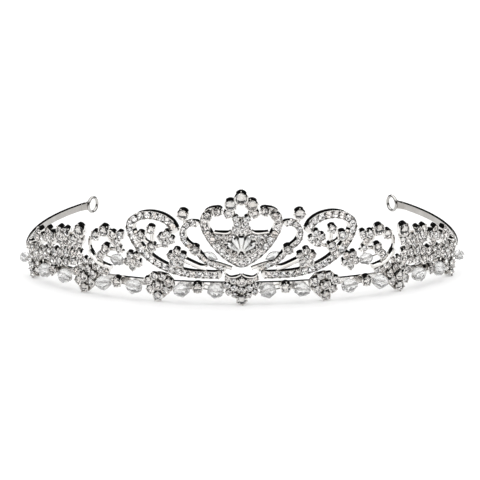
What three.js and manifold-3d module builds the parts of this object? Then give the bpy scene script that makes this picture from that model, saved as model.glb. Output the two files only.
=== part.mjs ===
// A bridal tiara: a springy horseshoe headband that carries a row of jewelled castings on its front face.
// Millimetres. X runs to the viewer's right, the front faces -Y, the arms run back along +Y, and Z is up.
// Every casting is drawn flat, as x along the band and y up, and is then seated on the band's face or bent to it.
import * as THREE from "three";
import { mergeVertices } from "three/addons/utils/BufferGeometryUtils.js";
import Module from "manifold-3d";

const wasm = await Module();
wasm.setup();

// Driving dimensions. The face line is the plan curve on which the castings sit, just outside the band.
const FACE_HALF_WIDTH = 76.6;
const FACE_FRONT_DEPTH = 62;
const FACE_ARM_DEPTH = 95;
const ARM_END = THREE.MathUtils.degToRad(40);

const GAP = 0.3; // solder gap between pieces that touch
const BAND = { bottom: 4.6, height: 2.6, thickness: 0.8, facets: 73 };
const CASTING_BACK = -1.3; // the castings' back, measured outward from the face line
const BAND_FRONT = CASTING_BACK - GAP;
const BAND_BACK = BAND_FRONT - BAND.thickness;
const CASTING_FRONT = 0.9;
const LOZENGE_FRONT = 1.2;
const FLOWER_CENTRE = 1.5;

const LOOP = { radius: 2.65, wire: 0.5, tongue: 3 };
const BEAD = { radius: 2.6, halfLength: 2.6, bore: 0.7, tableRadius: 1.25 };
const SMALL_BEAD = 0.86; // scale of the beads off the base row
const END_BEAD = 0.74;
const WIRE_RADIUS = 0.3;
const BEAD_AXIS = CASTING_BACK + BEAD.radius; // how far the bead's axis stands outward from the face line
const CUP_RADIUS = 1.9;
const ROUND = 8; // sides of a stone cup
const PETAL_STEPS = 4;
const CAP_STEPS = 4;

const METAL = { color: 0xd6d6d8, roughness: 0.2, metalness: 1 };
const CRYSTAL = { color: 0xeef2f3, roughness: 0.05, metalness: 0.1 };

// ---- The band's plan curve ----

const plan = new THREE.CurvePath();
plan.add(new THREE.EllipseCurve(0, 0, FACE_HALF_WIDTH, FACE_ARM_DEPTH, Math.PI - ARM_END, Math.PI));
plan.add(new THREE.EllipseCurve(0, 0, FACE_HALF_WIDTH, FACE_FRONT_DEPTH, Math.PI, 2 * Math.PI));
plan.add(new THREE.EllipseCurve(0, 0, FACE_HALF_WIDTH, FACE_ARM_DEPTH, 0, ARM_END));
const planLength = plan.getLength();
const BAND_END = planLength / 2; // distance along the face line from the middle of the front to an arm's end

// The point on the face line at a distance from the middle of the front, with the heading there.
function faceAt(distance) {
  const u = THREE.MathUtils.clamp(0.5 + distance / planLength, 0, 1);
  const point = plan.getPoint(u);
  const tangent = plan.getTangent(u);
  const past = distance - (u - 0.5) * planLength;
  return { point: point.addScaledVector(tangent, past), tangent };
}

// Wraps a flat drawing (x along the band, y up, z outward) round the face line.
function bend(geometry) {
  const position = geometry.getAttribute("position");
  for (let i = 0; i < position.count; i++) {
    const { point, tangent } = faceAt(position.getX(i));
    const outward = position.getZ(i);
    position.setXYZ(i, point.x + tangent.y * outward, point.y - tangent.x * outward, position.getY(i));
  }
  geometry.computeVertexNormals();
  return geometry;
}

// A group whose x runs along the band, y up and z outward, at a distance along the face line.
function seat(distance) {
  const { point, tangent } = faceAt(distance);
  const group = new THREE.Group();
  group.position.set(point.x, point.y, 0);
  group.rotation.set(Math.PI / 2, 0, Math.atan2(tangent.y, tangent.x), "ZYX");
  return group;
}

// ---- Solids ----

function solidOf(geometry) {
  const bare = new THREE.BufferGeometry().setAttribute("position", geometry.getAttribute("position"));
  if (geometry.index) bare.setIndex(geometry.index);
  const merged = mergeVertices(bare.index ? bare.toNonIndexed() : bare, 1e-4);
  return new wasm.Manifold(
    new wasm.Mesh({
      numProp: 3,
      vertProperties: merged.getAttribute("position").array,
      triVerts: new Uint32Array(merged.index.array),
    }),
  );
}

function geometryOf(solid) {
  const mesh = solid.getMesh();
  const geometry = new THREE.BufferGeometry();
  geometry.setAttribute("position", new THREE.BufferAttribute(mesh.vertProperties, 3));
  geometry.setIndex(new THREE.BufferAttribute(mesh.triVerts, 1));
  geometry.computeVertexNormals();
  return geometry;
}

function join(...geometries) {
  return geometryOf(geometries.map(solidOf).reduce((all, next) => all.add(next)));
}

// ---- Flat drawing helpers ----

// A plate of a flat outline between two distances outward from the face line.
function plate(shape, back = CASTING_BACK, front = CASTING_FRONT) {
  const options = { depth: front - back, bevelEnabled: false, curveSegments: ROUND };
  return new THREE.ExtrudeGeometry(shape, options).translate(0, 0, back);
}

function outline(points) {
  return new THREE.Shape(points.map(([x, y]) => new THREE.Vector2(x, y)));
}

// The outline of a strip that follows a smooth line, with round ends and an even taper.
function strip(points, startWidth, endWidth, steps) {
  const line = new THREE.SplineCurve(points.map(([x, y]) => new THREE.Vector2(x, y)));
  const rim = [];
  const stand = (u, turn) => {
    const heading = line.getTangentAt(u).angle() + turn;
    const half = THREE.MathUtils.lerp(startWidth, endWidth, u) / 2;
    const point = line.getPointAt(u);
    rim.push(new THREE.Vector2(point.x + half * Math.cos(heading), point.y + half * Math.sin(heading)));
  };
  for (let i = 0; i <= steps; i++) stand(i / steps, -Math.PI / 2);
  for (let i = 1; i < CAP_STEPS; i++) stand(1, -Math.PI / 2 + (Math.PI * i) / CAP_STEPS);
  for (let i = steps; i >= 0; i--) stand(i / steps, Math.PI / 2);
  for (let i = 1; i < CAP_STEPS; i++) stand(0, Math.PI / 2 + (Math.PI * i) / CAP_STEPS);
  return new THREE.Shape(rim);
}

// A stone's cup: a round wall that narrows towards its back.
function cup(x, y, radius, front = CASTING_FRONT) {
  const depth = front - CASTING_BACK;
  return new THREE.CylinderGeometry(radius, radius * 0.86, depth, ROUND)
    .rotateX(Math.PI / 2)
    .translate(x, y, CASTING_BACK + depth / 2);
}

// A flower: a plate with six round petals and a raised cup in the middle.
function flower(x, y, radius) {
  const petalRadius = radius * 0.37;
  const ring = radius - petalRadius;
  const halfTurn = (2 * Math.PI) / 3 - Math.acos(ring / 2 / petalRadius); // where neighbouring petals meet
  const rim = [];
  for (let k = 0; k < 6; k++) {
    const angle = (k * Math.PI) / 3;
    for (let i = 0; i < PETAL_STEPS; i++) {
      const turn = angle + halfTurn * ((2 * i) / PETAL_STEPS - 1);
      rim.push([
        x + ring * Math.cos(angle) + petalRadius * Math.cos(turn),
        y + ring * Math.sin(angle) + petalRadius * Math.sin(turn),
      ]);
    }
  }
  return join(plate(outline(rim)), cup(x, y, petalRadius, FLOWER_CENTRE));
}

// A straight wire between two points of the drawing.
function wire({ from, to, outward }) {
  const run = new THREE.Vector2(to[0] - from[0], to[1] - from[1]);
  return new THREE.CylinderGeometry(WIRE_RADIUS, WIRE_RADIUS, run.length(), 6)
    .rotateZ(run.angle() - Math.PI / 2)
    .translate((from[0] + to[0]) / 2, (from[1] + to[1]) / 2, outward);
}

// ---- The pieces ----

function headband() {
  const length = 2 * BAND_END;
  const middle = (BAND_FRONT + BAND_BACK) / 2;
  return bend(
    new THREE.BoxGeometry(length, BAND.height, BAND.thickness, BAND.facets, 1, 1)
      .translate(0, BAND.bottom + BAND.height / 2, middle),
  );
}

// A wire loop past the arm's end, on a tongue soldered behind the strip.
function endLoop() {
  const tongueThickness = 0.7;
  const tongueHeight = 2.2;
  const centre = LOOP.radius + LOOP.wire + GAP;
  const behind = BAND_BACK - GAP - tongueThickness / 2;
  const tongueLength = LOOP.tongue + LOOP.wire + GAP;
  const ring = new THREE.TorusGeometry(LOOP.radius, LOOP.wire, 6, 18).translate(centre, 0, behind);
  const tongue = new THREE.BoxGeometry(tongueLength, tongueHeight, tongueThickness)
    .translate(LOOP.wire + GAP - tongueLength / 2, 0, behind);
  return join(ring, tongue).translate(0, BAND.bottom + BAND.height / 2, 0);
}

const LOZENGE_PLACES = { inner: 28, outer: 56, end: 84 };
const LOZENGE_HALF = [[1.5, 0], [3.3, 2.2], [4.7, 3.6], [5.1, 5.5], [5.1, 7.6], [3.2, 9.6], [0, 10.2]];

// A shield-shaped cluster. Its lower tip is cut flat, and the tiara stands on it.
function lozenge() {
  const left = LOZENGE_HALF.slice(0, -1).reverse().map(([x, y]) => [-x, y]);
  const body = plate(outline([...LOZENGE_HALF, ...left]), CASTING_BACK, LOZENGE_FRONT);
  return join(body, cup(0, 2.4, 1.9, LOZENGE_FRONT + 0.6));
}

const END_WIRE = { from: [88, 5.2], to: [95.3, 5.6], outward: 0.75, beadFraction: 0.62 };

// The last cluster on each side is smaller and carries the wire of the outermost bead.
function endLozenge() {
  const small = 0.85;
  const body = lozenge().scale(small, small, 1).translate(LOZENGE_PLACES.end, 0, 0);
  return bend(join(body, wire(END_WIRE)));
}

const BEAD_HEIGHT = 4.65;
const DROP_HEIGHT = 5.7;
const WIRE_PAST_BEAD = BEAD.halfLength + 0.3;

// The wire from a drop's cup through a bead, and how far along it the bead's middle is.
function dropWire(cupAt, beadAt) {
  const run = Math.hypot(beadAt - cupAt, BEAD_HEIGHT - DROP_HEIGHT);
  const stretch = (run + WIRE_PAST_BEAD) / run;
  const to = [cupAt + (beadAt - cupAt) * stretch, DROP_HEIGHT + (BEAD_HEIGHT - DROP_HEIGHT) * stretch];
  return { from: [cupAt, DROP_HEIGHT], to, outward: BEAD_AXIS, beadFraction: 1 / stretch };
}

// A single stone cup with a wire each way, on which the two beads beside it turn.
function dropSetting(cupAt, wires) {
  return bend(join(cup(cupAt, DROP_HEIGHT, CUP_RADIUS, BEAD_AXIS + 2 * WIRE_RADIUS), ...wires.map(wire)));
}

// A faceted double cone with its bore along x.
function bead(scale = 1) {
  const rim = BEAD.halfLength;
  const girdle = 0.3;
  const profile = [
    [BEAD.bore / scale, -rim], [BEAD.tableRadius, -rim], [BEAD.radius, -girdle],
    [BEAD.radius, girdle], [BEAD.tableRadius, rim], [BEAD.bore / scale, rim], [BEAD.bore / scale, -rim],
  ];
  return new THREE.LatheGeometry(profile.map(([r, h]) => new THREE.Vector2(r, h)), 8)
    .rotateZ(-Math.PI / 2)
    .scale(scale, scale, scale);
}

const HEART_HALF = [
  [7.5, 31.9], [9.8, 31.6], [11.6, 30.3], [12.2, 28.3], [11.9, 26.1], [10.9, 24],
  [9.6, 21.9], [8, 19.8], [5.7, 17.4], [2.9, 15.4],
];

function heartFrame() {
  const left = HEART_HALF.slice().reverse().map(([x, y]) => [-x, y]);
  return bend(plate(strip([...HEART_HALF, [0, 14.1], ...left], 2.7, 2.7, 48)));
}

// The rosette on top of the heart, on a stem that comes up from the fan.
function crownRosette() {
  const ring = new THREE.Shape().absarc(0, 31.7, 3.4, 0, 2 * Math.PI);
  ring.holes.push(new THREE.Path().absarc(0, 31.7, 1.6, 0, 2 * Math.PI));
  const stem = plate(outline([[-2.4, 25.6], [2.4, 25.6], [2.4, 29.6], [-2.4, 29.6]]));
  const side = [1, -1].flatMap((hand) => [cup(3.1 * hand, 34.4, 2.1), cup(4.2 * hand, 31.4, 1.7)]);
  return join(plate(ring), stem, cup(0, 36.6, 2.2), ...side);
}

const FAN_HALF = [[2, 16.7], [4.5, 18.5], [6.7, 20.75], [8, 22.5], [9.1, 24.2], [8.8, 24.8]];
const FAN_MIDDLE = 21.3;
const FAN_INSIDE = 0.9; // the opening, as a share of the plate

// A dished plate inside the heart, open at the front for the fan of crystals.
function fanFrame() {
  const left = FAN_HALF.slice().reverse().map(([x, y]) => [-x, y]);
  const rim = [[0, 15.9], ...FAN_HALF, ...left];
  const floor = CASTING_BACK + 0.8;
  const wall = outline(rim);
  wall.holes.push(outline(rim.map(([x, y]) => [x * FAN_INSIDE, FAN_MIDDLE + (y - FAN_MIDDLE) * FAN_INSIDE])));
  return join(plate(outline(rim), CASTING_BACK, floor), plate(wall, CASTING_BACK, CASTING_FRONT));
}

const FAN_ROOT = 17.2;
const PEAR_POINT = 1.8;
const PEAR_MIDDLE = 0.9; // how far the crystals' middle stands outward

// A pear-shaped crystal that points at the fan's root, with its blunt end at a given reach.
function pearCrystal(reach) {
  const profile = [[0, PEAR_POINT], [0.85, reach - 2.2], [0.7, reach - 0.8], [0, reach]];
  return new THREE.LatheGeometry(profile.map(([r, h]) => new THREE.Vector2(r, h)), 8);
}

function leafCrystal() {
  const profile = [[0, -2.7], [1.1, -0.6], [1.1, 0.6], [0, 2.7]];
  return new THREE.LatheGeometry(profile.map(([r, h]) => new THREE.Vector2(r, h)), 8);
}

// The C-shaped scroll beside the heart, with its finial cup on top and its tail running in to the middle.
function innerScroll() {
  const hook = strip(
    [[14.9, 27.3], [17.2, 27.2], [19.1, 25.4], [19.4, 22.9], [18.3, 20.7], [15.2, 18.4],
      [13.6, 16.5], [11.9, 14.9], [9.8, 13.7], [7.6, 12.8], [5.7, 12.2]],
    2, 1.6, 32,
  );
  const tail = strip([[10.4, 14.3], [7, 13.5], [3.2, 12.2]], 1, 0.8, 8);
  const stem = strip([[18.4, 26.6], [18.9, 28.5], [19, 30.5]], 1.1, 1.1, 4);
  const strips = [hook, tail, stem].map((s) => plate(s));
  return bend(join(...strips, cup(15.2, 18.6, 1.8), cup(19, 30.5, 2)));
}

// The long scroll that sweeps out from the middle and curls back over its own sprays.
function bigScroll() {
  const line = [
    [7.6, 10], [12, 10], [18, 10.3], [24, 11.6], [28.6, 13.6], [32.2, 16.1], [34.9, 18.8], [36.7, 21.6],
    [37.8, 24.6], [37, 27], [34.2, 28.8], [30.3, 29.5], [26.4, 28.8], [23.6, 27.1], [22.3, 25],
  ];
  return bend(plate(strip(line, 2.3, 2.7, 52)));
}

// The sprays inside the big scroll: single stones on a forked stem, and a quatrefoil on its inner branch.
function innerSpray() {
  const stem = strip([[29.9, 18.6], [30.1, 21.5], [30.1, 24.6]], 1, 1, 8);
  const outerBranch = strip([[30, 19.4], [32.4, 20.4], [33.5, 22.1]], 0.9, 0.9, 5);
  const innerBranch = strip([[30, 18.9], [27.4, 19.1], [24.9, 21.8]], 0.9, 0.9, 6);
  const stones = [cup(29.9, 18.8, 1.7), cup(30.1, 24.6, 1.7), cup(33.4, 22.2, 1.6)];
  const leaves = [0, 1, 2, 3].map((k) => {
    const angle = (k * Math.PI) / 2;
    return cup(24.9 + 1.5 * Math.cos(angle), 21.8 + 1.5 * Math.sin(angle), 1.45);
  });
  return bend(join(...[stem, outerBranch, innerBranch].map((s) => plate(s)), ...stones, ...leaves));
}

// The flower beside the inner scroll, on a strip that runs in to the middle.
function innerFlower() {
  const stem = strip([[11.3, 12.4], [14.2, 13.1], [18.6, 15]], 1.3, 1.3, 8);
  return bend(join(plate(stem), flower(21.3, 15.7, 3.4)));
}

const SPRAY_WIRE = { from: [47.4, 13.86], to: [40.4, 12.2], outward: -0.1, beadFraction: 0.61 };

// The stones outside the big scroll, on one branching stem, with the wire of a bead at its foot.
function outerSpray() {
  const arm = strip([[41.6, 17.2], [44, 16.5], [46.6, 16.5]], 0.9, 0.9, 4);
  const reach = strip([[43.9, 21.8], [47.2, 22.8], [50.6, 20.8]], 1, 1, 5);
  const bud = [cup(41.2, 21.9, 1.5), cup(43.9, 21.8, 1.5), cup(42.3, 19.5, 1.45), cup(41.6, 17.2, 1.2)];
  const tall = [cup(47.2, 22.8, 2.1), cup(50.6, 20.8, 1.8)];
  const low = [cup(46.6, 16.5, 1.7), cup(48.4, 14.1, 1.5)];
  return bend(join(plate(arm), plate(reach), ...bud, ...tall, ...low, wire(SPRAY_WIRE)));
}

const UPPER_RUN = {
  stones: [[57.1, 21.4, 2.3], [57.3, 17.7, 1.5], [60.1, 18.3, 1.5]],
  flowers: [[64.4, 18.7, 3.5], [71.5, 17.2, 3.4], [78, 16.2, 3.2]],
};
const LOWER_RUN = {
  stones: [[57.6, 13.2, 1.4], [60.2, 13.3, 1.4], [62.9, 13.1, 1.4], [65.6, 12.7, 1.4], [68.4, 12.3, 1.5],
    [66.6, 9.9, 1.6], [63.4, 10.3, 1.5], [70.6, 9.6, 1.4]],
  flowers: [[73, 10.9, 2.6], [79, 10.3, 2.7], [84.6, 11.6, 2.6]],
};

// A run of stones and flowers on one stem along the side of the band.
function sideRun({ stones, flowers }, start) {
  const stem = strip([start, ...flowers.map(([x, y]) => [x, y])], 1.1, 1.1, 16);
  const cups = stones.map(([x, y, radius]) => cup(x, y, radius));
  return bend(join(plate(stem), ...flowers.map(([x, y, radius]) => flower(x, y, radius)), ...cups));
}

function sideScroll() {
  const line = [[45.4, 10], [49, 10.9], [52, 12.6], [53.9, 15], [54.5, 17.4], [54.1, 19.3]];
  return bend(plate(strip(line, 1.8, 1.8, 24)));
}

// ---- The assembly ----

const DROPS = [
  { name: "inner", cupAt: 14.4, beads: [8.6, 19.9] },
  { name: "middle", cupAt: 42.4, beads: [36.4, 47.9] },
  { name: "outer", cupAt: 70, beads: [64.5, 75] },
];
const FAN_ANGLES = [["centre", 0, 7.1], ["inner", 25, 6.9], ["outer", 50, 6]];
const LEAF = { x: 10, y: 16.9, tilt: -61 };

function add(parent, name, geometry, finish) {
  const mesh = new THREE.Mesh(geometry, new THREE.MeshStandardMaterial(finish));
  mesh.name = name;
  parent.add(mesh);
  return mesh;
}

// The drawing's point x, y and outward, in space.
function spacePoint([x, y], outward) {
  const { point, tangent } = faceAt(x);
  return new THREE.Vector3(point.x + tangent.y * outward, point.y - tangent.x * outward, y);
}

// A bead threaded on a wire.
function thread(parent, name, { from, to, outward, beadFraction }, scale) {
  const start = spacePoint(from, outward);
  const end = spacePoint(to, outward);
  const mesh = add(parent, name, bead(scale), CRYSTAL);
  mesh.position.lerpVectors(start, end, beadFraction);
  mesh.quaternion.setFromUnitVectors(new THREE.Vector3(1, 0, 0), end.sub(start).normalize());
}

// A crystal of the fan inside the heart, turned from upright by an angle in degrees.
function pear(parent, name, degrees, reach) {
  const mesh = add(parent, name, pearCrystal(reach), CRYSTAL);
  mesh.position.set(0, FAN_ROOT, PEAR_MIDDLE);
  mesh.rotation.z = THREE.MathUtils.degToRad(-degrees);
}

// Everything that the tiara has once on each side, drawn for the viewer's right.
function side(label) {
  const group = new THREE.Group();
  const loopSeat = seat(BAND_END);
  add(loopSeat, `end_loop_${label}`, endLoop(), METAL);
  group.add(loopSeat);
  for (const place of ["inner", "outer"]) {
    const lozengeSeat = seat(LOZENGE_PLACES[place]);
    add(lozengeSeat, `lozenge_${place}_${label}`, lozenge(), METAL);
    group.add(lozengeSeat);
  }
  add(group, `lozenge_end_${label}`, endLozenge(), METAL);
  thread(group, `bead_end_${label}`, END_WIRE, END_BEAD);
  for (const { name, cupAt, beads } of DROPS) {
    const wires = beads.map((beadAt) => dropWire(cupAt, beadAt));
    add(group, `drop_${name}_${label}`, dropSetting(cupAt, wires), METAL);
    thread(group, `bead_${name}_a_${label}`, wires[0], 1);
    thread(group, `bead_${name}_b_${label}`, wires[1], 1);
  }
  add(group, `inner_scroll_${label}`, innerScroll(), METAL);
  add(group, `big_scroll_${label}`, bigScroll(), METAL);
  add(group, `inner_spray_${label}`, innerSpray(), METAL);
  add(group, `inner_flower_${label}`, innerFlower(), METAL);
  add(group, `outer_flower_${label}`, bend(flower(36.4, 13.5, 3.3)), METAL);
  add(group, `outer_spray_${label}`, outerSpray(), METAL);
  thread(group, `bead_spray_${label}`, SPRAY_WIRE, SMALL_BEAD);
  add(group, `side_scroll_${label}`, sideScroll(), METAL);
  add(group, `side_flowers_upper_${label}`, sideRun(UPPER_RUN, [57, 20]), METAL);
  add(group, `side_flowers_lower_${label}`, sideRun(LOWER_RUN, [57.6, 13.2]), METAL);
  const fanSeat = seat(0);
  for (const [name, degrees, reach] of FAN_ANGLES.slice(1)) {
    pear(fanSeat, `fan_crystal_${name}_${label}`, degrees, reach);
  }
  const leaf = add(fanSeat, `leaf_crystal_${label}`, leafCrystal(), CRYSTAL);
  leaf.position.set(LEAF.x, LEAF.y, -0.6);
  leaf.rotation.z = THREE.MathUtils.degToRad(LEAF.tilt);
  group.add(fanSeat);
  return group;
}

const tiara = new THREE.Group();
add(tiara, "headband", headband(), METAL);
add(tiara, "heart_frame", heartFrame(), METAL);
add(tiara, "crown_rosette", bend(crownRosette()), METAL);
add(tiara, "fan_frame", bend(fanFrame()), METAL);
const middle = seat(0);
add(middle, "lozenge_centre", lozenge(), METAL);
pear(middle, "fan_crystal_centre", FAN_ANGLES[0][1], FAN_ANGLES[0][2]);
tiara.add(middle);
const leftSide = side("left");
leftSide.scale.x = -1;
tiara.add(side("right"), leftSide);

// The origin is at the middle of the footprint, on the surface that the tiara stands on.
const box = new THREE.Box3().setFromObject(tiara, true);
const centre = box.getCenter(new THREE.Vector3());
tiara.position.set(-centre.x, -centre.y, -box.min.z);

export default tiara;
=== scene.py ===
"""A bridal tiara: a springy horseshoe band whose front carries stone settings, scrolls, flowers and crystal beads.

Castings are drawn flat in millimetres, as x along the band, y up and n outward from the band's face line,
and every point is then wrapped round that line into the frame's metres.
"""
import math
import random

import bmesh
import bpy
from mathutils import Matrix, Vector


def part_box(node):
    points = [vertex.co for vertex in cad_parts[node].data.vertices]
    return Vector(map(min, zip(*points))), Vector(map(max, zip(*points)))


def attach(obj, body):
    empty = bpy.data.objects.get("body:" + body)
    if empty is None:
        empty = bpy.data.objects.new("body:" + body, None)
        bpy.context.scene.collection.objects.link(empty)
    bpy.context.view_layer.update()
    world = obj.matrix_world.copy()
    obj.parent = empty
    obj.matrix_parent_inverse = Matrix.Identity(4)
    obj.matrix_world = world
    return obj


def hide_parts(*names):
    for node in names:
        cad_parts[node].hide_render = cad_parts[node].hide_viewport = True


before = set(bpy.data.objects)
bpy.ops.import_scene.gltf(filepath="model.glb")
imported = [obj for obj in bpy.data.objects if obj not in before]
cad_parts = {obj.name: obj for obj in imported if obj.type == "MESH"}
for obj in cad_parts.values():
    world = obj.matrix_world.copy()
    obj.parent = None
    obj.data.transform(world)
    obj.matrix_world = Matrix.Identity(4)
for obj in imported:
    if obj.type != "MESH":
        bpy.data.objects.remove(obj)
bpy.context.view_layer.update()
random.seed(7)

MM = 0.001

# ---- The face line, as in the frame: half an ellipse in front and part of a deeper one on each side ----

HALF_WIDTH = 76.6
FRONT_DEPTH = 62.0
ARM_DEPTH = 95.0
ARM_END = math.radians(40)
CASTING_BACK = -1.3
BAND_OUTER = -1.6
BAND_INNER = -2.4
BAND_BOTTOM = 4.6
BAND_TOP = 7.2
LINE_STEPS = 1600
SPLINE_STEPS = 24
BEVEL = 0.1     # on the edges of cups and channels


def face_line():
    """Points of the face line with their distance from the middle of the front, in millimetres."""
    centre_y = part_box("headband")[0].y / MM + FRONT_DEPTH + BAND_OUTER
    points = []
    for i in range(LINE_STEPS + 1):
        turn = -math.pi / 2 - ARM_END + i * (math.pi + 2 * ARM_END) / LINE_STEPS
        depth = FRONT_DEPTH if abs(turn) <= math.pi / 2 else ARM_DEPTH
        points.append((HALF_WIDTH * math.sin(turn), centre_y - depth * math.cos(turn)))
    lengths = [0.0]
    for a, b in zip(points, points[1:]):
        lengths.append(lengths[-1] + math.dist(a, b))
    middle = lengths[-1] / 2
    return points, [length - middle for length in lengths]


LINE_POINTS, LINE_LENGTHS = face_line()
BAND_END = LINE_LENGTHS[-1]


def face_at(x):
    """The plan point and heading of the face line at a distance from the middle; straight on past its ends."""
    low, high = 0, LINE_STEPS
    while high - low > 1:
        middle = (low + high) // 2
        if LINE_LENGTHS[middle] <= x:
            low = middle
        else:
            high = middle
    (ax, ay), (bx, by) = LINE_POINTS[low], LINE_POINTS[low + 1]
    step = math.hypot(bx - ax, by - ay)
    tx, ty = (bx - ax) / step, (by - ay) / step
    along = x - LINE_LENGTHS[low]
    return ax + tx * along, ay + ty * along, tx, ty


def space(x, y, n):
    """A drawing point in the frame, in metres."""
    px, py, tx, ty = face_at(x)
    return Vector(((px + ty * n) * MM, (py - tx * n) * MM, y * MM))


def seat(x, y, n=0.0):
    """The matrix from a small flat drawing, in millimetres, to the frame: along the band, up, outward."""
    _, _, tx, ty = face_at(x)
    axes = Matrix(((tx, 0, ty), (ty, 0, -tx), (0, 1, 0))).to_4x4()
    return Matrix.Translation(space(x, y, n)) @ axes @ Matrix.Scale(MM, 4)


# ---- Gathering meshes ----

class Shape:
    """Solids gathered into one mesh, with points in the frame's metres and a finish number for each face."""

    def __init__(self):
        self.points, self.faces, self.finishes = [], [], []

    def add(self, points, faces, finish=0):
        base = len(self.points)
        self.points += points
        self.faces += [[base + i for i in face] for face in faces]
        self.finishes += [finish] * len(faces)

    def loft(self, rings, closed=False, finish=0):
        """A skin over rings of points, capped at both ends unless it closes on itself."""
        count = len(rings[0])
        faces = []
        for r in range(len(rings) if closed else len(rings) - 1):
            a, b = r * count, (r + 1) % len(rings) * count
            faces += [[a + i, a + (i + 1) % count, b + (i + 1) % count, b + i] for i in range(count)]
        if not closed:
            last = (len(rings) - 1) * count
            faces += [list(range(count))[::-1], [last + i for i in range(count)]]
        self.add([p for ring in rings for p in ring], faces, finish)

    def turn(self, place, profile, sides, outline=None, finish=0):
        """A solid turned about an axis from a profile of (radius, height) that starts and ends on the axis."""
        points, starts = [], []
        for radius, height in profile:
            starts.append(len(points))
            if radius == 0:
                points.append(place(0, 0, height))
                continue
            for i in range(sides):
                angle = 2 * math.pi * i / sides
                reach = radius * (outline(angle) if outline else 1)
                points.append(place(reach * math.cos(angle), reach * math.sin(angle), height))
        faces = []
        for level in range(len(profile) - 1):
            a, b = starts[level], starts[level + 1]
            for i in range(sides):
                j = (i + 1) % sides
                if profile[level][0] == 0:
                    faces.append([a, b + j, b + i])
                elif profile[level + 1][0] == 0:
                    faces.append([a + i, a + j, b])
                else:
                    faces.append([a + i, a + j, b + j, b + i])
        self.add(points, faces, finish)


def make(name, shape, finishes, body, nodes=(), smooth_angle=40):
    """Turns a shape into a piece that rides on a body and may stand for CAD nodes."""
    mesh = bpy.data.meshes.new(name)
    mesh.from_pydata([tuple(p) for p in shape.points], [], shape.faces)
    for material in finishes:
        mesh.materials.append(material)
    mesh.polygons.foreach_set("material_index", shape.finishes)
    bm = bmesh.new()
    bm.from_mesh(mesh)
    bmesh.ops.recalc_face_normals(bm, faces=bm.faces)
    if smooth_angle:
        for face in bm.faces:
            face.smooth = True
        for edge in bm.edges:
            if len(edge.link_faces) == 2 and edge.calc_face_angle(0) > math.radians(smooth_angle):
                edge.smooth = False
    bm.to_mesh(mesh)
    bm.free()
    piece = bpy.data.objects.new(name, mesh)
    bpy.context.scene.collection.objects.link(piece)
    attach(piece, body)
    if nodes:
        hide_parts(*nodes)
    return piece


# ---- Flat drawing: hand is 1 for the viewer's right and -1 for the mirror-image left ----

def spline(points):
    """A dense smooth line through drawing points, as (x, y) with the distance run so far."""
    dense = []
    last = len(points) - 1
    for k in range(last):
        p0 = points[max(k - 1, 0)]
        p1, p2 = points[k], points[k + 1]
        p3 = points[min(k + 2, last)]
        for i in range(SPLINE_STEPS):
            t = i / SPLINE_STEPS
            dense.append(tuple(
                0.5 * (2 * b + (c - a) * t + (2 * a - 5 * b + 4 * c - d) * t ** 2
                       + (3 * b - a - 3 * c + d) * t ** 3)
                for a, b, c, d in zip(p0, p1, p2, p3)))
    dense.append(tuple(points[-1]))
    run = [0.0]
    for a, b in zip(dense, dense[1:]):
        run.append(run[-1] + math.dist(a, b))
    return dense, run


def stations(points, shares):
    """(x, y, heading x, heading y) at shares of a smooth line's length, and the length."""
    dense, run = spline(points)
    found = []
    for share in shares:
        target = share * run[-1]
        k = 0
        while k < len(run) - 2 and run[k + 1] < target:
            k += 1
        (ax, ay), (bx, by) = dense[k], dense[k + 1]
        step = run[k + 1] - run[k]
        t = (target - run[k]) / step
        found.append((ax + (bx - ax) * t, ay + (by - ay) * t, (bx - ax) / step, (by - ay) / step))
    return found, run[-1]


def placer(hand, x, y, n=0.0):
    """A function from small offsets along the band, up and outward to the frame, round a drawing point."""
    def place(u, v, w):
        return space(hand * (x + u), y + v, n + w)
    return place


GRAIN_PROFILE = [(0, -1), (0.62, -0.78), (0.95, -0.3), (0.95, 0.3), (0.62, 0.78), (0, 1)]


def grain(shape, hand, x, y, n, radius, length, sides=8):
    """A small rounded grain of metal, with its half length outward."""
    shape.turn(placer(hand, x, y, n), [(r * radius, h * length) for r, h in GRAIN_PROFILE], sides)


CUP_SIDES = 18
CUP_WALL = 0.15
WALL_SHARE = 0.13   # how much thicker the wall is for each millimetre of the cup's radius
CUP_TURN = 0.6      # how much of the way a cup at the side is turned to face forward
CUP_DRAFT = 0.05    # how much wider a cup is at its back, and narrower at its lip
LIP_LEAN = 0.32     # how far the lip's face falls towards its outer edge, for its width
CUP_SEAT = (0.9, 0.6)   # the hollow's share of the opening, at a depth where its floor starts
CUP_DEPTH = 0.9         # the hollow's depth in the middle
CROWN_RISE = 0.12   # how far the stone's girdle lies below its cup's rim
STONE_SHARE = 1.02  # the stone's radius for that of the cup's opening
CLAW = {"radius": 0.27, "length": 0.42, "inset": 0.12, "drop": 0.05}
FINE_SIDES = 6      # round a claw, or a grain between two stones


def cup_skew(x):
    """How far a cup leans back along the band for its depth, so that the side cups face forward a little."""
    _, _, tx, ty = face_at(x)
    return -CUP_TURN * (min(1.0, ty / tx) if tx > 0 else 1.0)


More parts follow.
